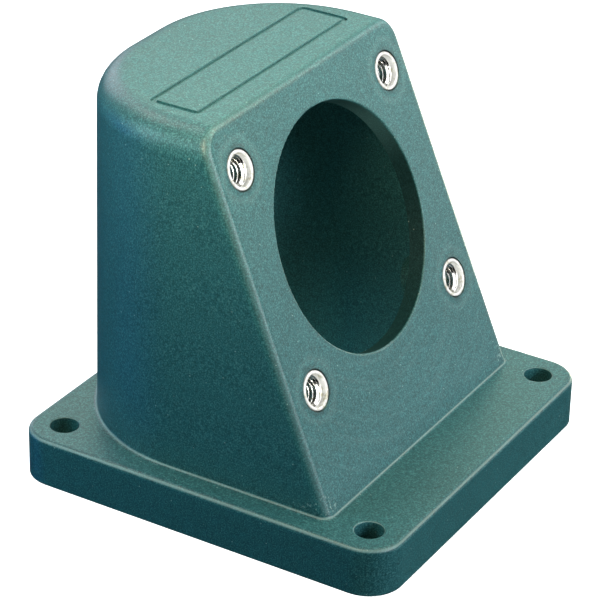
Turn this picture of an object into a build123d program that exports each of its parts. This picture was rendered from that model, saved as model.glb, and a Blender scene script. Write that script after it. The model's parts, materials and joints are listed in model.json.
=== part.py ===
"""Angled mounting box for a round panel connector.

A square flange carries a hollow hood with a D-shaped plan. The hood's front is cut off by a sloping face
with a round opening, and four threaded inserts are moulded into that face. A seal lies in the underside.

Origin: centre of the flange's underside. +Z is up, the sloping face looks towards -Y, +X is to the right
of someone who faces it. Millimetres.
"""

from build123d import *
from math import cos, radians, sin, tan
import os

os.makedirs("parts", exist_ok=True)

# Flange
FLANGE_SIDE = 70.0
FLANGE_THICKNESS = 8.45
FLANGE_CORNER_R = 6.1
FLANGE_EDGE_R = 0.85
FIXING_PITCH = 58.0
FIXING_HOLE_D = 4.8
FIXING_RIM_R = 0.25

# Hood
HOOD_HEIGHT = 68.0
HOOD_HALF_WIDTH = 30.55  # at the top of the flange
HOOD_BACK = 33.5
HOOD_CORNER_R = 25.3
SIDE_DRAFT_DEG = 1.15
WALL = 3.2
TOP_EDGE_R = 4.7
FACE_EDGE_R = 1.7
HOLLOW_EDGE_R = 1.0
JUNCTION_R = 0.6

# Sloping face
SLOPE_DEG = 22.74  # from vertical
FACE_CENTRE_Y = -7.9
FACE_CENTRE_Z = 43.3
OPENING_D = 41.2
OPENING_RIM_R = 0.3

# Threaded inserts, M5
INSERT_CIRCLE_D = 58.8
INSERT_ANGLE_DEG = 39.5  # from the line across the face
INSERT_R = 3.2
INSERT_LENGTH = 6.5
THREAD_CORE_R = 2.067
LEAD_IN_R = 2.65
LEAD_IN_DEPTH = 1.0
LAND_LENGTH = 2.2
GROOVE_DEPTH = 0.5
INSERT_END_CHAMFER = 0.4
KNURL_COUNT = 24
KNURL_SIZE = 0.3
POCKET_CHAMFER = 0.25
BOSS_R = 4.8
BOSS_FLOOR = 1.2

# Blank marking field on the hood's top, outlined by a shallow groove
MARKING_WIDTH = 46.0
MARKING_DEPTH = 9.6
MARKING_Y = 11.6
MARKING_LINE = 1.0
MARKING_RECESS = 0.3
MARKING_CORNER_R = 1.3

# Seal in the underside
SEAL_WIDTH = 1.9
SEAL_HEIGHT = 1.3
SEAL_MARGIN = 1.2  # from the hollow's edge to the seal's groove
SEAL_INNER_CORNER_R = 1.5
SEAL_EDGE_R = 0.35

# Worked out
FACE = Plane(
    origin=(0, FACE_CENTRE_Y, FACE_CENTRE_Z),
    x_dir=(1, 0, 0),
    z_dir=Vector(0, -1, 0).rotate(Axis.X, -SLOPE_DEG),
)
FACE_BACK = FACE.offset(-WALL)
SLOPE_FOOT_Y = FACE_CENTRE_Y - FACE_CENTRE_Z * tan(radians(SLOPE_DEG))
HOLLOW_FRONT = SLOPE_FOOT_Y + WALL / cos(radians(SLOPE_DEG))


def half_width_at(height):
    """Half of the hood's outer width at a height, with the draft of its two sides."""
    return HOOD_HALF_WIDTH - (height - FLANGE_THICKNESS) * tan(radians(SIDE_DRAFT_DEG))


def drafted_block(inset, top):
    """The hood's D-shaped plan, moved in by inset, lofted from the underside up to top."""
    front = -FLANGE_SIDE / 2
    back = HOOD_BACK - inset
    with BuildPart() as block:
        for height in (0, top):
            with BuildSketch(Plane.XY.offset(height)) as plan:
                with Locations((0, (front + back) / 2)):
                    Rectangle(2 * (half_width_at(height) - inset), back - front)
                fillet(plan.vertices().group_by(Axis.Y)[-1], HOOD_CORNER_R - inset)
        loft(ruled=True)
    return block.part


def seal_outline(margin):
    """The edge of the hollow at the underside, moved out by margin, as a face."""
    half_width = half_width_at(0) - WALL + margin
    front = HOLLOW_FRONT - margin
    back = HOOD_BACK - WALL + margin
    with BuildSketch() as outline:
        with Locations((0, (front + back) / 2)):
            Rectangle(2 * half_width, back - front)
        fillet(outline.vertices().group_by(Axis.Y)[-1], HOOD_CORNER_R - WALL + margin)
        fillet(outline.vertices().group_by(Axis.Y)[0], SEAL_INNER_CORNER_R + margin - SEAL_MARGIN)
    return outline.sketch


def turned(mouth, outline):
    """Solid turned about the mouth plane's normal from (radius, depth) points."""
    half_section = Plane(origin=mouth.origin, x_dir=mouth.x_dir, z_dir=mouth.y_dir)
    with BuildPart() as body:
        with BuildSketch(half_section):
            with BuildLine():
                Polyline(outline, close=True)
            make_face()
        revolve(axis=Axis(mouth.origin, mouth.z_dir))
    return body.part


def insert_blank(mouth):
    """Outside of an insert: two lands with a retention groove between them."""
    waist_r = INSERT_R - GROOVE_DEPTH
    rear_land = INSERT_LENGTH - LAND_LENGTH
    outline = [
        (0, 0),
        (INSERT_R, 0),
        (INSERT_R, LAND_LENGTH),
        (waist_r, LAND_LENGTH + GROOVE_DEPTH),
        (waist_r, rear_land - GROOVE_DEPTH),
        (INSERT_R, rear_land),
        (INSERT_R, INSERT_LENGTH - INSERT_END_CHAMFER),
        (INSERT_R - INSERT_END_CHAMFER, INSERT_LENGTH),
        (0, INSERT_LENGTH),
    ]
    return turned(mouth, outline)


def insert_bore(mouth):
    """Inside of an insert: a plain lead-in, a cone, and the core of the thread."""
    outline = [
        (0, 0),
        (LEAD_IN_R, 0),
        (LEAD_IN_R, LEAD_IN_DEPTH),
        (THREAD_CORE_R, LEAD_IN_DEPTH + LEAD_IN_R - THREAD_CORE_R),
        (THREAD_CORE_R, INSERT_LENGTH),
        (0, INSERT_LENGTH),
    ]
    return turned(mouth, outline)


def insert_mouth(side, level):
    """Plane at an insert's mouth, its Z along the way that a screw leaves."""
    across = INSERT_CIRCLE_D / 2 * cos(radians(INSERT_ANGLE_DEG))
    up = INSERT_CIRCLE_D / 2 * sin(radians(INSERT_ANGLE_DEG))
    place = (side * across, level * up, 0)
    return Plane(origin=FACE.from_local_coords(place), x_dir=FACE.x_dir, z_dir=FACE.z_dir)


MOUTHS = {
    "insert_upper_left": insert_mouth(-1, 1),
    "insert_upper_right": insert_mouth(1, 1),
    "insert_lower_left": insert_mouth(-1, -1),
    "insert_lower_right": insert_mouth(1, -1),
}

# Threaded inserts
blanks = {name: insert_blank(mouth) for name, mouth in MOUTHS.items()}
bores = {name: insert_bore(mouth) for name, mouth in MOUTHS.items()}
for name, mouth in MOUTHS.items():
    with BuildPart() as insert:
        add(blanks[name])
        add(bores[name], mode=Mode.SUBTRACT)
        for land_start in (POCKET_CHAMFER, INSERT_LENGTH - LAND_LENGTH):
            with BuildSketch(mouth.offset(-land_start)):
                with PolarLocations(INSERT_R, KNURL_COUNT):
                    RegularPolygon(KNURL_SIZE, 3, rotation=180)
            extrude(amount=-(LAND_LENGTH - POCKET_CHAMFER), mode=Mode.SUBTRACT)
    insert.part.label = name
    export_step(insert.part, f"parts/{name}.step")

# Hollow inside of the hood, less the bosses behind the inserts
hollow_block = drafted_block(WALL, HOOD_HEIGHT - WALL)
with BuildPart() as hollow:
    add(hollow_block)
    top_edges = hollow.faces().sort_by(Axis.Z)[-1].edges().sort_by(Axis.Y)[1:]
    fillet(top_edges, TOP_EDGE_R - WALL)
    split(bisect_by=FACE_BACK, keep=Keep.BOTTOM)
    hollow_front = hollow.faces().sort_by(Axis(FACE.origin, FACE.z_dir))[-1]
    fillet(hollow_front.edges().sort_by(Axis.Z)[1:], HOLLOW_EDGE_R)
    for mouth in MOUTHS.values():
        with Locations(Location(mouth)):
            Cylinder(
                BOSS_R,
                INSERT_LENGTH + BOSS_FLOOR,
                align=(Align.CENTER, Align.CENTER, Align.MAX),
                mode=Mode.SUBTRACT,
            )

# Flange
with BuildPart() as flange:
    with BuildSketch():
        RectangleRounded(FLANGE_SIDE, FLANGE_SIDE, FLANGE_CORNER_R)
    extrude(amount=FLANGE_THICKNESS)
    fillet(flange.faces().sort_by(Axis.Z)[-1].edges(), FLANGE_EDGE_R)

# Housing
hood_block = drafted_block(0, HOOD_HEIGHT)
seal_inner = seal_outline(SEAL_MARGIN)
seal_outer = seal_outline(SEAL_MARGIN + SEAL_WIDTH)
with BuildPart() as housing:
    # Hood, cut off by the sloping face
    add(hood_block)
    top_edges = housing.faces().sort_by(Axis.Z)[-1].edges().sort_by(Axis.Y)[1:]
    fillet(top_edges, TOP_EDGE_R)
    split(bisect_by=FACE, keep=Keep.BOTTOM)
    sloping_face = housing.faces().sort_by(Axis(FACE.origin, FACE.z_dir))[-1]
    fillet(sloping_face.edges().sort_by(Axis.Z)[1:], FACE_EDGE_R)

    # Flange, with a small radius where the hood meets it
    add(flange.part)
    fillet(housing.edges(Select.NEW).filter_by_position(Axis.Z, FLANGE_THICKNESS, FLANGE_THICKNESS), JUNCTION_R)

    # Hollow, open at the underside
    add(hollow.part, mode=Mode.SUBTRACT)

    # Opening in the sloping face
    with Locations(Location(FACE)):
        Hole(OPENING_D / 2, depth=WALL + 1)
    opening_rim = housing.edges(Select.NEW).sort_by(Axis(FACE.origin, FACE.z_dir))[-1]
    fillet(opening_rim, OPENING_RIM_R)

    # Pockets that hold the inserts
    for name, mouth in MOUTHS.items():
        add(blanks[name], mode=Mode.SUBTRACT)
        pocket_circles = housing.edges(Select.LAST).filter_by(GeomType.CIRCLE)
        pocket_rim = pocket_circles.sort_by(Axis(FACE.origin, FACE.z_dir))[-1]
        chamfer(pocket_rim, POCKET_CHAMFER)

    # Fixing holes in the flange's corners
    with Locations(Plane.XY.offset(FLANGE_THICKNESS)):
        with GridLocations(FIXING_PITCH, FIXING_PITCH, 2, 2):
            Hole(FIXING_HOLE_D / 2, depth=FLANGE_THICKNESS)
    fixing_rims = housing.edges(Select.NEW).filter_by(GeomType.CIRCLE).group_by(Axis.Z)[-1]
    fillet(fixing_rims, FIXING_RIM_R)

    # Groove for the seal
    with BuildSketch():
        add(seal_outer)
        add(seal_inner, mode=Mode.SUBTRACT)
    extrude(amount=SEAL_HEIGHT, mode=Mode.SUBTRACT)

    # Groove around the blank marking field
    with BuildSketch(Plane.XY.offset(HOOD_HEIGHT)):
        with Locations((0, MARKING_Y)):
            RectangleRounded(MARKING_WIDTH, MARKING_DEPTH, MARKING_CORNER_R)
        offset(amount=-MARKING_LINE, mode=Mode.SUBTRACT)
    extrude(amount=-MARKING_RECESS, mode=Mode.SUBTRACT)
housing.part.label = "housing"
export_step(housing.part, "parts/housing.step")

# Seal, flush with the underside
with BuildPart() as base_gasket:
    with BuildSketch():
        add(seal_outer)
        add(seal_inner, mode=Mode.SUBTRACT)
    extrude(amount=SEAL_HEIGHT)
    fillet(base_gasket.faces().sort_by(Axis.Z)[-1].edges(), SEAL_EDGE_R)
base_gasket.part.label = "base_gasket"
export_step(base_gasket.part, "parts/base_gasket.step")
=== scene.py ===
"""Looks for the angled mounting box: plastic, threaded inserts, seal, studio."""

import json
from math import cos, pi, radians, sin

import bmesh
import bpy
from mathutils import Matrix, Vector


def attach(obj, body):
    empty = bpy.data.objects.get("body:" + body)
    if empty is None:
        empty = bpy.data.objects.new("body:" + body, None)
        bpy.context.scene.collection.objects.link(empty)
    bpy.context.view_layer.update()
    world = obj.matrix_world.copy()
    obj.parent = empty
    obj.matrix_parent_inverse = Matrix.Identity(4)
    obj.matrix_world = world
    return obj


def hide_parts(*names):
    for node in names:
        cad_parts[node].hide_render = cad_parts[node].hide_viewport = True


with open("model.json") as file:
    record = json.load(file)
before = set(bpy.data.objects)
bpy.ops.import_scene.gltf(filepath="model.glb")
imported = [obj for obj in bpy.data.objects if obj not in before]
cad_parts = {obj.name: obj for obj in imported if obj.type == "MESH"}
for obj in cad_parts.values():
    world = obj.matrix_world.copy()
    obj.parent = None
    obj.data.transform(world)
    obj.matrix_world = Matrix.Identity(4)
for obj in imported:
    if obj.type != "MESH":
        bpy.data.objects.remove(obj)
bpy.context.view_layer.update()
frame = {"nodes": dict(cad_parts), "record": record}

MM = 0.001
MOUNTS = {mount["name"]: mount for mount in frame["record"]["mounts"]}

# ---------------------------------------------------------------- camera, fitted to the photograph
CAMERA_AZIMUTH = radians(-59.52)
CAMERA_ELEVATION = radians(28.41)
CAMERA_ROLL = radians(1.39)
CAMERA_DISTANCE = 0.4591
CAMERA_TARGET = Vector((-0.00313, -0.00023, 0.0289))
CAMERA_LENS = 168.05

# ---------------------------------------------------------------- sloping face
FACE_NORMAL = Vector(MOUNTS["connector_opening"]["axis"]).normalized()
FACE_ACROSS = Vector((1.0, 0.0, 0.0))
FACE_UP = FACE_NORMAL.cross(FACE_ACROSS)
OPENING_INSIDE = Vector(MOUNTS["connector_opening"]["pos_m"])
OPENING_R = MOUNTS["connector_opening"]["dims"]["r_mm"] * MM
FACE_DEPTH = FACE_NORMAL.dot(Vector(MOUNTS["connector_face"]["pos_m"]) - OPENING_INSIDE)
FACE_CENTRE = OPENING_INSIDE + FACE_NORMAL * FACE_DEPTH

# ---------------------------------------------------------------- threaded inserts, M5
THREAD_CORE_R = MOUNTS["thread_upper_left"]["dims"]["r_mm"] * MM
THREAD_PITCH = 0.8 * MM
THREAD_DEPTH = 0.43 * MM
CREST = 0.25  # share of the pitch that is flat at the core radius
ROOT = 0.125  # share of the pitch that is flat at the full depth
INSERT_R = 3.2 * MM
INSERT_LENGTH = 6.5 * MM
INSERT_WAIST_R = 2.7 * MM
LEAD_IN_R = 2.65 * MM
LEAD_IN_DEPTH = 1.0 * MM
CONE_SLOPE = 1.8  # how fast the bore narrows below the lead-in
LAND_LENGTH = 2.2 * MM
KNURL_START = 0.25 * MM
KNURL_DEPTH = 0.16 * MM
KNURL_COUNT = 24
RIM_R = 0.10 * MM
RIM_MIDDLE = 0.3  # share of the rim's radius that its middle point is set back
END_CHAMFER = 0.4 * MM
STEPS_PER_KNURL = 4
STEPS_AROUND = STEPS_PER_KNURL * KNURL_COUNT
STEPS_PER_TURN = 16
WELD = 0.0001 * MM
SHARP_EDGE = radians(25)

# ---------------------------------------------------------------- lights
LIGHT_AIM = Vector((0.0, 0.0, 0.03))
# Each softbox has its azimuth and elevation in degrees (azimuth 0 is the object's front, 90 its right), its
# distance, width and height in metres, its watts and its colour. Those that light the plastic have watts and
# colours that began as a fit to the photograph, and were then rounded and changed.
LIGHTS = {
    "front": (0, 20, 0.80, 0.35, 0.35, 4.9, (0.80, 0.93, 1.0)),
    "front_right": (60, 20, 0.80, 0.35, 0.35, 1.05, (1.0, 0.45, 0.35)),
    "front_right_panel": (49, 0, 0.80, 0.60, 0.30, 0.92, (0.80, 1.0, 1.0)),
    "back_right": (120, 28, 0.80, 0.40, 0.40, 1.45, (0.75, 1.0, 0.87)),
    "back": (150, 20, 0.80, 0.35, 0.35, 1.5, (0.92, 0.90, 1.0)),
    "low_left": (-100, -12, 0.80, 0.35, 0.35, 0.48, (0.10, 0.88, 1.0)),
    "blue_behind": (-160, 0, 0.80, 0.35, 0.35, 0.95, (0.0, 0.15, 1.0)),
    "low_behind": (-150, -30, 0.50, 0.25, 0.25, 0.10, (0.0, 0.25, 1.0)),
    "near_back": (180, 58, 0.20, 0.08, 0.08, 0.11, (1.0, 0.78, 0.78)),
    "near_back_left": (-135, 28, 0.20, 0.08, 0.08, 0.155, (0.60, 0.95, 1.0)),
    "near_low_right": (90, -10, 0.20, 0.10, 0.05, 0.20, (1.0, 0.95, 0.70)),
    "near_right": (75, 30, 0.16, 0.05, 0.05, 0.043, (0.65, 0.92, 1.0)),
    "near_left": (-85, 50, 0.10, 0.03, 0.03, 0.048, (1.0, 0.75, 0.50)),
    "near_top": (30, 65, 0.11, 0.03, 0.03, 0.052, (0.95, 1.0, 0.78)),
}
# The inserts have softboxes of their own, placed where the metal reflects them, with watts given one by one
METAL_LIGHTS = {
    "plate_ring": (49, -1, 0.80, 0.50, 0.30, 0.68, (1.0, 1.0, 1.0)),
    "plate_front": (-27, 26, 0.60, 0.35, 0.35, 3.0, (1.0, 1.0, 0.97)),
    "plate_above": (25, 36, 0.60, 0.75, 0.50, 2.1, (1.0, 1.0, 1.0)),
    "plate_left": (-75, 25, 0.60, 0.50, 0.50, 2.3, (1.0, 0.99, 0.93)),
    "plate_low": (18, -28, 0.60, 0.40, 0.30, 0.04, (0.6, 0.9, 1.0)),
}


def make_camera():
    """Camera on the photograph's side of the object, aimed at a point inside it."""
    away = Vector((
        sin(CAMERA_AZIMUTH) * cos(CAMERA_ELEVATION),
        -cos(CAMERA_AZIMUTH) * cos(CAMERA_ELEVATION),
        sin(CAMERA_ELEVATION),
    ))
    turn = away.to_track_quat("Z", "Y") @ Matrix.Rotation(CAMERA_ROLL, 3, "Z").to_quaternion()
    data = bpy.data.cameras.new("camera")
    data.lens = CAMERA_LENS
    data.sensor_width = 36.0
    data.clip_start = 0.01
    camera = bpy.data.objects.new("camera", data)
    camera.rotation_euler = turn.to_euler()
    camera.location = CAMERA_TARGET + away * CAMERA_DISTANCE
    bpy.context.scene.collection.objects.link(camera)
    bpy.context.scene.camera = camera


def make_light(name, azimuth, elevation, distance, width, height, watts, colour):
    """A rectangular softbox that faces the object and isn't seen itself."""
    azimuth, elevation = radians(azimuth), radians(elevation)
    way = Vector((sin(azimuth) * cos(elevation), -cos(azimuth) * cos(elevation), sin(elevation)))
    data = bpy.data.lights.new(name, "AREA")
    data.shape = "RECTANGLE"
    data.size = width
    data.size_y = height
    data.energy = watts
    data.color = colour
    light = bpy.data.objects.new(name, data)
    light.location = LIGHT_AIM + way * distance
    light.rotation_euler = way.to_track_quat("Z", "Y").to_euler()
    light.visible_camera = False
    bpy.context.scene.collection.objects.link(light)
    return light


# ---------------------------------------------------------------- material helpers
NOISE_RANGE = (0.3, 0.7)  # most of a noise's values lie in it


class Graph:
    """A material's node tree, with short calls for the nodes that these materials use."""

    def __init__(self, name):
        self.material = bpy.data.materials.new(name)
        self.material.use_nodes = True
        self.tree = self.material.node_tree
        self.shader = self.tree.nodes["Principled BSDF"]
        self.place = self.tree.nodes.new("ShaderNodeTexCoord").outputs["Object"]
        self.normal = self.tree.nodes.new("ShaderNodeNewGeometry").outputs["Normal"]

    def set(self, socket, value):
        """Link a node's output to a socket, or give the socket a plain value."""
        if isinstance(value, bpy.types.NodeSocket):
            self.tree.links.new(value, socket)
        else:
            socket.default_value = value

    def math(self, operation, *values):
        node = self.tree.nodes.new("ShaderNodeMath")
        node.operation = operation
        for socket, value in zip(node.inputs, values):
            self.set(socket, value)
        return node.outputs["Value"]

    def product(self, *values):
        """All the values multiplied together."""
        result = values[0]
        for value in values[1:]:
            result = self.math("MULTIPLY", result, value)
        return result

    def length(self, x, y):
        """The length of the vector x, y."""
        return self.math("SQRT", self.math("ADD", self.product(x, x), self.product(y, y)))

    def dot(self, vector, axis):
        node = self.tree.nodes.new("ShaderNodeVectorMath")
        node.operation = "DOT_PRODUCT"
        self.set(node.inputs[0], vector)
        self.set(node.inputs[1], axis)
        return node.outputs["Value"]

    def along(self, point, axis):
        """How far the shaded place is from point, measured along axis."""
        return self.math("SUBTRACT", self.dot(self.place, axis), point.dot(axis))

    def combine(self, x, y, z):
        node = self.tree.nodes.new("ShaderNodeCombineXYZ")
        for socket, value in zip(node.inputs, (x, y, z)):
            self.set(socket, value)
        return node.outputs["Vector"]

    def noise(self, scale, detail=2.0, roughness=0.5, vector=None):
        node = self.tree.nodes.new("ShaderNodeTexNoise")
        self.set(node.inputs["Vector"], vector or self.place)
        self.set(node.inputs["Scale"], scale)
        self.set(node.inputs["Detail"], detail)
        self.set(node.inputs["Roughness"], roughness)
        return node.outputs["Fac"]

    def cells(self, scale):
        """The distance to the nearest of many scattered points."""
        node = self.tree.nodes.new("ShaderNodeTexVoronoi")
        self.set(node.inputs["Vector"], self.place)
        self.set(node.inputs["Scale"], scale)
        return node.outputs["Distance"]

    def spread(self, value, low, high, to_low, to_high, smooth=False):
        """Map value from low..high to to_low..to_high, held at both ends."""
        node = self.tree.nodes.new("ShaderNodeMapRange")
        node.interpolation_type = "SMOOTHSTEP" if smooth else "LINEAR"
        self.set(node.inputs["Value"], value)
        self.set(node.inputs["From Min"], low)
        self.set(node.inputs["From Max"], high)
        self.set(node.inputs["To Min"], to_low)
        self.set(node.inputs["To Max"], to_high)
        return node.outputs["Result"]

    def band(self, value, start, full, fade, end):
        """Rise from 0 to 1 between start and full, and fall back between fade and end."""
        return self.product(
            self.spread(value, start, full, 0.0, 1.0, True),
            self.spread(value, fade, end, 1.0, 0.0, True),
        )

    def mix(self, share, first, second, blend="MIX"):
        node = self.tree.nodes.new("ShaderNodeMix")
        node.data_type = "RGBA"
        node.blend_type = blend
        # The node has sockets A, B and Result for every kind of data: these are the ones for colours
        factor, colour_a, colour_b = node.inputs[0], node.inputs[6], node.inputs[7]
        self.set(factor, share)
        self.set(colour_a, first)
        self.set(colour_b, second)
        return node.outputs[2]

    def bump(self, height, strength, distance, normal=None):
        node = self.tree.nodes.new("ShaderNodeBump")
        self.set(node.inputs["Height"], height)
        self.set(node.inputs["Strength"], strength)
        self.set(node.inputs["Distance"], distance)
        if normal:
            self.set(node.inputs["Normal"], normal)
        return node.outputs["Normal"]

    def finish(self, **values):
        """Set the shader's sockets and return the material."""
        for key, value in values.items():
            self.set(self.shader.inputs[key.replace("_", " ")], value)
        return self.material


# ---------------------------------------------------------------- housing's plastic
UP = Vector((0.0, 0.0, 1.0))
UNDERSIDE = Vector((0.0, 0.0, 0.0))
PLASTIC_COLOUR = (0.021, 0.114, 0.123, 1.0)
PLASTIC_PALE = (0.13, 0.30, 0.29, 1.0)
# A paler colour for specks, knocks, flow marks and rings, and for the painted highlights on the edges
PLASTIC_DUST_AND_HIGHLIGHT = (0.40, 0.56, 0.52, 1.0)
PLASTIC_SHADE = (0.12, 0.12, 0.12, 1.0)

# Noise scales, in features per metre
GRAIN_SCALE = 4200.0
MOTTLE_SCALE = 1300.0
CLOUD_SCALE = 55.0
SINK_SCALE = 420.0
SPECK_SCALE = 500.0
KNOCK_SCALE = 1900.0
FLOW_SCALE = 900.0  # across the flow marks
FLOW_BENDS = 1.3  # features per radian, along the flow marks
SPECK_RADIUS = (0.035, 0.055)  # in features: full, none

# How strongly each mark shows
PALE_SHARE = 0.45
# Painted highlights on the edge fillets: at the hood's foot and flange rim, and round the sloping face
FOOT_EDGE_HIGHLIGHT = 0.36
FACE_EDGE_HIGHLIGHT = 0.10
FLOW_SHARE = 0.035
HALO_SHARE = 0.06
SINK_SHARE = 0.32
# Painted shade on the wall inside the round opening
OPENING_SHADE_SHARE = 0.7
SPECK_SHARE = 0.8
KNOCK_SHARE = 0.5
# Makes the painted shade in the gap round each insert black, with no shine
GAP_SHADE_METAL = 0.85

# Heights above the underside
ABOVE_FLANGE = (9.0 * MM, 9.6 * MM)  # none, full
# Heights of the painted highlight along the hood's foot and the flange rim
FOOT_HIGHLIGHT_HEIGHTS = (7.3 * MM, 7.7 * MM, 9.2 * MM, 9.6 * MM)  # start, full, fade, end

# Places out of the sloping face's plane
ON_FACE = (-0.6 * MM, -0.1 * MM)  # none, full
IN_OPENING = (-3.6 * MM, -3.3 * MM, -0.45 * MM, -0.25 * MM)  # start, full, fade, end

# Cosines of the angle between the surface and upright, or between it and the sloping face
FOOT_TILT = (0.35, 0.60, 0.78, 0.93)  # start, full, fade, end
FACE_EDGE_TILT = (0.40, 0.70, 0.93, 0.985)  # start, full, fade, end
FACE_TILT = (0.96, 0.995)  # off the face, on it

# Places in the sloping face's plane
OPENING_WALL = (OPENING_R + 0.05 * MM, OPENING_R + 0.20 * MM)  # full, none
FLOW_UP = (-6.0 * MM, -16.0 * MM)  # faint, full, up the face from its middle
CORNER_ACROSS = 29.5 * MM
CORNER_BELOW = 36.5 * MM
CORNER_REACH = (1.5 * MM, 3.5 * MM)  # full, none

# Distances from the axis of an insert
# A narrow ring of painted shade round each insert
GAP_SHADE = (3.42 * MM, 3.54 * MM)  # full, none
SINK = (3.4 * MM, 4.3 * MM)  # full, none
HALO = (4.1 * MM, 4.8 * MM, 4.9 * MM, 6.0 * MM)  # start, full, fade, end
SINK_SWAY = 0.35 * MM  # how far the sink mark and the ring wander


def insert_reach(graph, across, up):
    """How far a place is from the axis of the nearest insert."""
    insert = Vector(MOUNTS["thread_upper_right"]["pos_m"]) - FACE_CENTRE
    off_across = graph.math("SUBTRACT", graph.math("ABSOLUTE", across), insert.dot(FACE_ACROSS))
    off_up = graph.math("SUBTRACT", graph.math("ABSOLUTE", up), insert.dot(FACE_UP))
    return graph.length(off_across, off_up)


def eroded_colour(graph, grain, mottle):
    """The colour of the spark-eroded texture, with a paler tone on the grain's peaks."""
    tone = graph.product(
        graph.spread(grain, *NOISE_RANGE, 0.60, 1.40),
        graph.spread(mottle, *NOISE_RANGE, 0.84, 1.16),
        graph.spread(graph.noise(CLOUD_SCALE), *NOISE_RANGE, 0.95, 1.05),
    )
    colour = graph.mix(1.0, PLASTIC_COLOUR, graph.combine(tone, tone, tone), "MULTIPLY")
    return graph.mix(graph.spread(grain, 0.50, 0.75, 0.0, PALE_SHARE), colour, PLASTIC_PALE)


def painted_edge_highlights(graph, height, above_flange):
    """Painted highlights on the rounded edges, where they would catch the light: flange rim, hole rims, hood
    foot and sloping face.
    """
    tilt = graph.dot(graph.normal, UP)
    facing = graph.dot(graph.normal, FACE_NORMAL)
    off_face = graph.spread(facing, *FACE_TILT, 1.0, 0.0, True)
    foot_edge = graph.product(
        graph.band(height, *FOOT_HIGHLIGHT_HEIGHTS),
        graph.band(tilt, *FOOT_TILT),
        off_face,
    )
    face_edge = graph.product(graph.band(facing, *FACE_EDGE_TILT), above_flange)
    return graph.math(
        "MAXIMUM",
        graph.product(foot_edge, FOOT_EDGE_HIGHLIGHT),
        graph.product(face_edge, FACE_EDGE_HIGHLIGHT),
    )


def flow_marks(graph, radius, across, up):
    """Flow marks that run round the opening, strongest below it."""
    bearing = graph.math("ARCTAN2", up, across)
    swirl = graph.combine(graph.product(radius, FLOW_SCALE), graph.product(bearing, FLOW_BENDS), 0.0)
    return graph.product(
        graph.spread(graph.noise(1.0, 2.0, 0.6, swirl), 0.50, 0.66, 0.0, 1.0, True),
        graph.spread(up, *FLOW_UP, 0.15, 1.0, True),
    )


def opening_wall_shade(graph, radius, out):
    """Where the round opening's wall lies behind its rounded rim, for painted shade inside the opening."""
    return graph.product(
        graph.spread(radius, *OPENING_WALL, 1.0, 0.0),
        graph.band(out, *IN_OPENING),
    )


def corner_knocks(graph, across, up):
    """Knocks at the two front corners of the hood's foot."""
    from_corner = graph.length(
        graph.math("SUBTRACT", graph.math("ABSOLUTE", across), CORNER_ACROSS),
        graph.math("ADD", up, CORNER_BELOW),
    )
    near_corner = graph.spread(from_corner, *CORNER_REACH, 1.0, 0.0, True)
    chipped = graph.spread(graph.noise(KNOCK_SCALE), 0.56, 0.66, 0.0, KNOCK_SHARE, True)
    return graph.product(chipped, near_corner)


def housing_plastic():
    """Dark green moulded plastic: fine eroded texture, painted highlights on the edges, painted shade in the
    opening and round the inserts, flow marks, sink marks and specks.
    """
    graph = Graph("housing_plastic")
    grain = graph.noise(GRAIN_SCALE, 1.0)
    mottle = graph.noise(MOTTLE_SCALE, 2.0)
    colour = eroded_colour(graph, grain, mottle)

    # A place on the sloping face: across it, up it, out of its plane, and from the middle of the opening
    across = graph.along(FACE_CENTRE, FACE_ACROSS)
    up = graph.along(FACE_CENTRE, FACE_UP)
    out = graph.along(FACE_CENTRE, FACE_NORMAL)
    radius = graph.length(across, up)
    height = graph.along(UNDERSIDE, UP)
    above_flange = graph.spread(height, *ABOVE_FLANGE, 0.0, 1.0)
    on_face = graph.product(graph.spread(out, *ON_FACE, 0.0, 1.0), above_flange)

    # Round each insert: a narrow ring of painted shade in the gap, a sink mark and a paler ring
    reach = insert_reach(graph, across, up)
    sway = graph.spread(graph.noise(SINK_SCALE), *NOISE_RANGE, -SINK_SWAY, SINK_SWAY)
    ragged = graph.math("ADD", reach, sway)
    gap_shade = graph.product(graph.spread(reach, *GAP_SHADE, 1.0, 0.0, True), on_face)
    sink = graph.product(graph.spread(ragged, *SINK, 1.0, 0.0, True), on_face)
    halo = graph.product(graph.band(ragged, *HALO), on_face)

    # Darker places: sink marks, and painted shade on the opening's wall and in the gap round each insert;
    # then paler ones
    dim = graph.math(
        "MAXIMUM",
        graph.product(sink, SINK_SHARE),
        graph.product(opening_wall_shade(graph, radius, out), OPENING_SHADE_SHARE),
    )
    shade = graph.mix(1.0, colour, PLASTIC_SHADE, "MULTIPLY")
    colour = graph.mix(graph.math("MAXIMUM", gap_shade, dim), colour, shade)
    flow_mark = graph.product(flow_marks(graph, radius, across, up), on_face)
    pale = graph.math("MAXIMUM", graph.product(flow_mark, FLOW_SHARE), graph.product(halo, HALO_SHARE))
    # Painted highlights on the edge fillets, with the flow marks and rings, in the paler colour
    edge_highlight = painted_edge_highlights(graph, height, above_flange)
    colour = graph.mix(graph.math("MAXIMUM", pale, edge_highlight), colour, PLASTIC_DUST_AND_HIGHLIGHT)
    speck = graph.spread(graph.cells(SPECK_SCALE), *SPECK_RADIUS, SPECK_SHARE, 0.0)
    knock = graph.product(corner_knocks(graph, across, up), above_flange)
    colour = graph.mix(graph.math("MAXIMUM", speck, knock), colour, PLASTIC_DUST_AND_HIGHLIGHT)

    shape = graph.bump(sink, 1.0, 0.04 * MM)
    shape = graph.bump(mottle, 0.35, 0.05 * MM, shape)
    shape = graph.bump(grain, 0.5, 0.03 * MM, shape)
    return graph.finish(
        Base_Color=colour,
        # Metal with a dark colour takes the shine off the painted shade in the gap
        Metallic=graph.product(gap_shade, GAP_SHADE_METAL),  # only takes the shine off the dark gap
        Roughness=graph.spread(mottle, *NOISE_RANGE, 0.38, 0.46),
        Normal=shape,
    )


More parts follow.
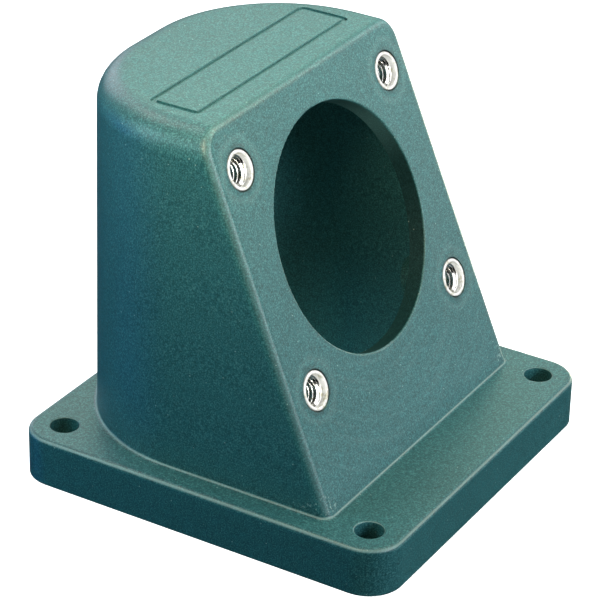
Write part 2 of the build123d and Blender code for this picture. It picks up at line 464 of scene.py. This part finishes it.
# ---------------------------------------------------------------- inserts' plating and seal's rubber
PLATE_COLOUR = (0.93, 0.93, 0.91, 1.0)
TARNISH_COLOUR = (0.55, 0.53, 0.38, 1.0)
RUBBER_COLOUR = (0.016, 0.016, 0.018, 1.0)
BLOOM_COLOUR = (0.045, 0.046, 0.05, 1.0)
TARNISH_SCALE = 900.0
PLATE_GRAIN_SCALE = 5000.0
BLOOM_SCALE = 380.0
RUBBER_GRAIN_SCALE = 3200.0
MOUTH = (2.55 * MM, 2.62 * MM)  # distances from the axis: none, full
PLATE_METAL = 1.0
MOUTH_METAL = 0.5
MOUTH_ROUGHNESS = 0.22  # more than in the threads


def insert_metal():
    """Bright nickel plate: a satin mouth, brighter threads and a little tarnish."""
    graph = Graph("insert_metal")
    across = graph.along(FACE_CENTRE, FACE_ACROSS)
    up = graph.along(FACE_CENTRE, FACE_UP)
    mouth = graph.spread(insert_reach(graph, across, up), *MOUTH, 0.0, 1.0)
    tarnish = graph.noise(TARNISH_SCALE, 3.0, 0.6)
    stain = graph.spread(tarnish, 0.50, 0.68, 0.0, 0.8, True)
    thread_satin = graph.spread(tarnish, *NOISE_RANGE, 0.10, 0.20)
    satin = graph.math("ADD", graph.product(mouth, MOUTH_ROUGHNESS), thread_satin)
    return graph.finish(
        Base_Color=graph.mix(stain, PLATE_COLOUR, TARNISH_COLOUR),
        Metallic=graph.spread(mouth, 0.0, 1.0, PLATE_METAL, MOUTH_METAL),
        Roughness=satin,
        Normal=graph.bump(graph.noise(PLATE_GRAIN_SCALE, 1.0), 0.1, 0.01 * MM),
    )


def gasket_rubber():
    """Matte black rubber with a little bloom."""
    graph = Graph("gasket_rubber")
    bloom = graph.noise(BLOOM_SCALE, 3.0, 0.6)
    chalk = graph.spread(bloom, 0.45, 0.75, 0.0, 0.5)
    return graph.finish(
        Base_Color=graph.mix(chalk, RUBBER_COLOUR, BLOOM_COLOUR),
        Roughness=graph.spread(bloom, *NOISE_RANGE, 0.62, 0.82),
        Normal=graph.bump(graph.noise(RUBBER_GRAIN_SCALE), 0.4, 0.04 * MM),
    )


# ---------------------------------------------------------------- threaded inserts
def thread_radius(phase):
    """The thread's radius at a place along its pitch, from 0 to 1: crest, flank, root, flank."""
    flank = (1.0 - CREST - ROOT) / 2
    phase %= 1.0
    if phase < CREST:
        share = 0.0
    elif phase < CREST + flank:
        share = (phase - CREST) / flank
    elif phase < CREST + flank + ROOT:
        share = 1.0
    else:
        share = (1.0 - phase) / flank
    return THREAD_CORE_R + share * THREAD_DEPTH


def bore_point(turn, travel):
    """A point of the bore as (radius, depth): travel is the distance along the thread's axis for the turn."""
    depth = min(max(travel + THREAD_PITCH * turn, LEAD_IN_DEPTH), INSERT_LENGTH)
    phase = (depth - THREAD_PITCH * turn) / THREAD_PITCH
    cone = LEAD_IN_R - CONE_SLOPE * (depth - LEAD_IN_DEPTH)
    return max(thread_radius(phase), cone), depth


def outside_points(knurled):
    """The outside of an insert from its far end to its lead-in, as (radius, depth)."""
    waist_step = INSERT_R - INSERT_WAIST_R
    return [
        (INSERT_R - END_CHAMFER, INSERT_LENGTH),
        (knurled, INSERT_LENGTH - END_CHAMFER),
        (knurled, INSERT_LENGTH - LAND_LENGTH),
        (INSERT_WAIST_R, INSERT_LENGTH - LAND_LENGTH - waist_step),
        (INSERT_WAIST_R, LAND_LENGTH + waist_step),
        (knurled, LAND_LENGTH),
        (knurled, KNURL_START + KNURL_DEPTH),
        (INSERT_R, KNURL_START),
        (INSERT_R, RIM_R),
        (INSERT_R - RIM_R * RIM_MIDDLE, RIM_R * RIM_MIDDLE),
        (INSERT_R - RIM_R, 0.0),
        (LEAD_IN_R + RIM_R, 0.0),
        (LEAD_IN_R + RIM_R * RIM_MIDDLE, RIM_R * RIM_MIDDLE),
        (LEAD_IN_R, RIM_R),
    ]


def make_insert(name, material):
    """A knurled insert with a helical thread, as one closed mesh in place of the CAD one."""
    mount = MOUNTS["thread_" + name.removeprefix("insert_")]
    centre = Vector(mount["pos_m"])
    mouth = centre - FACE_NORMAL * FACE_NORMAL.dot(centre - FACE_CENTRE)
    rows = round((INSERT_LENGTH - LEAD_IN_DEPTH + THREAD_PITCH) / THREAD_PITCH * STEPS_PER_TURN) + 1
    travel = [LEAD_IN_DEPTH - THREAD_PITCH + row * THREAD_PITCH / STEPS_PER_TURN for row in range(rows)]
    shape = bmesh.new()
    columns = []
    for step in range(STEPS_AROUND + 1):
        angle = 2 * pi * step / STEPS_AROUND
        way = FACE_ACROSS * cos(angle) + FACE_UP * sin(angle)
        in_groove = step % STEPS_PER_KNURL == STEPS_PER_KNURL // 2
        knurled = INSERT_R - (KNURL_DEPTH if in_groove else 0.0)
        outline = outside_points(knurled) + [bore_point(step / STEPS_AROUND, along) for along in travel]
        outline.append(outline[0])
        places = [mouth + way * radius - FACE_NORMAL * depth for radius, depth in outline]
        columns.append([shape.verts.new(place) for place in places])
    for left, right in zip(columns, columns[1:]):
        for row in range(len(left) - 1):
            shape.faces.new((left[row], right[row], right[row + 1], left[row + 1]))
    bmesh.ops.remove_doubles(shape, verts=shape.verts, dist=WELD)
    bmesh.ops.dissolve_degenerate(shape, edges=shape.edges, dist=WELD)
    bmesh.ops.recalc_face_normals(shape, faces=shape.faces)
    mesh = bpy.data.meshes.new(name + "_turned")
    shape.to_mesh(mesh)
    shape.free()
    mesh.materials.append(material)
    mesh.shade_smooth()
    mesh.set_sharp_from_angle(angle=SHARP_EDGE)
    piece = bpy.data.objects.new(name + "_turned", mesh)
    bpy.context.scene.collection.objects.link(piece)
    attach(piece, "root")
    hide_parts(name)
    return piece


# ---------------------------------------------------------------- studio
FLOOR_SIZE = 6.0
FLOOR_DROP = 0.05 * MM
FLOOR_GLOW = 1.0
FLOOR_COLOUR = (0.95, 0.955, 0.96, 1.0)
BACKDROP_RADIUS = 5.0
BACKDROP_COLOUR = (0.97, 0.98, 1.0, 1.0)
AMBIENT = 0.01
UNDER_GLOW_SIZE = 60 * MM
UNDER_GLOW_DEPTH = 30 * MM
UNDER_GLOW_WATTS = 0.010
UNDER_GLOW_COLOUR = (0.45, 1.0, 0.85)


def only_seen(piece):
    """Keep a piece of the set from lighting or shading the object."""
    piece.visible_diffuse = False
    piece.visible_glossy = False
    piece.visible_transmission = False
    piece.visible_shadow = False


def make_floor():
    bpy.ops.mesh.primitive_plane_add(size=FLOOR_SIZE, location=(0.0, 0.0, -FLOOR_DROP))
    floor = bpy.context.object
    floor.name = "floor"
    paper = Graph("floor_paper").finish(
        Base_Color=FLOOR_COLOUR, Roughness=0.9, Specular_IOR_Level=0.0,
        Emission_Color=FLOOR_COLOUR, Emission_Strength=FLOOR_GLOW,
    )
    floor.data.materials.append(paper)
    only_seen(floor)


def make_backdrop():
    """A pale dome round the whole set."""
    bpy.ops.mesh.primitive_uv_sphere_add(radius=BACKDROP_RADIUS)
    dome = bpy.context.object
    dome.name = "backdrop"
    paper = Graph("backdrop_paper").finish(
        Base_Color=(0.0, 0.0, 0.0, 1.0), Specular_IOR_Level=0.0,
        Emission_Color=BACKDROP_COLOUR, Emission_Strength=1.0,
    )
    dome.data.materials.append(paper)
    only_seen(dome)


def make_studio():
    """Pale surroundings, a faint light from all round, and the softboxes, which it returns."""
    make_floor()
    make_backdrop()
    world = bpy.data.worlds.new("studio")
    world.use_nodes = True
    world.node_tree.nodes["Background"].inputs["Color"].default_value = (1.0, 1.0, 1.0, 1.0)
    world.node_tree.nodes["Background"].inputs["Strength"].default_value = AMBIENT
    bpy.context.scene.world = world
    bpy.context.scene.view_settings.view_transform = "Standard"
    return [make_light(name, *values) for name, values in LIGHTS.items()]


def light_hollow():
    """The glow of a pale floor inside the open-bottomed hood."""
    distance = LIGHT_AIM.z + UNDER_GLOW_DEPTH
    sides = (UNDER_GLOW_SIZE, UNDER_GLOW_SIZE)
    make_light("under_glow", 0, -90, distance, *sides, UNDER_GLOW_WATTS, UNDER_GLOW_COLOUR)


def light_plating(lights, pieces):
    """Light the plated pieces with softboxes of their own, and with none of the others."""
    plated, rest = bpy.data.collections.new("plated"), bpy.data.collections.new("all_but_plated")
    for piece in pieces:
        plated.objects.link(piece)
        rest.objects.link(piece)
    for entry in rest.collection_objects:
        entry.light_linking.link_state = "EXCLUDE"
    for light in lights:
        light.light_linking.receiver_collection = rest
    for name, values in METAL_LIGHTS.items():
        light = make_light(name, *values)
        light.light_linking.receiver_collection = plated


def dress(node, material):
    """Give a CAD node a better material."""
    for slot in frame["nodes"][node].material_slots:
        slot.material = material


make_camera()
softboxes = make_studio()
light_hollow()
dress("housing", housing_plastic())
dress("base_gasket", gasket_rubber())
plate = insert_metal()
insert_names = [node for node in frame["nodes"] if node.startswith("insert_")]
light_plating(softboxes, [make_insert(node, plate) for node in insert_names])
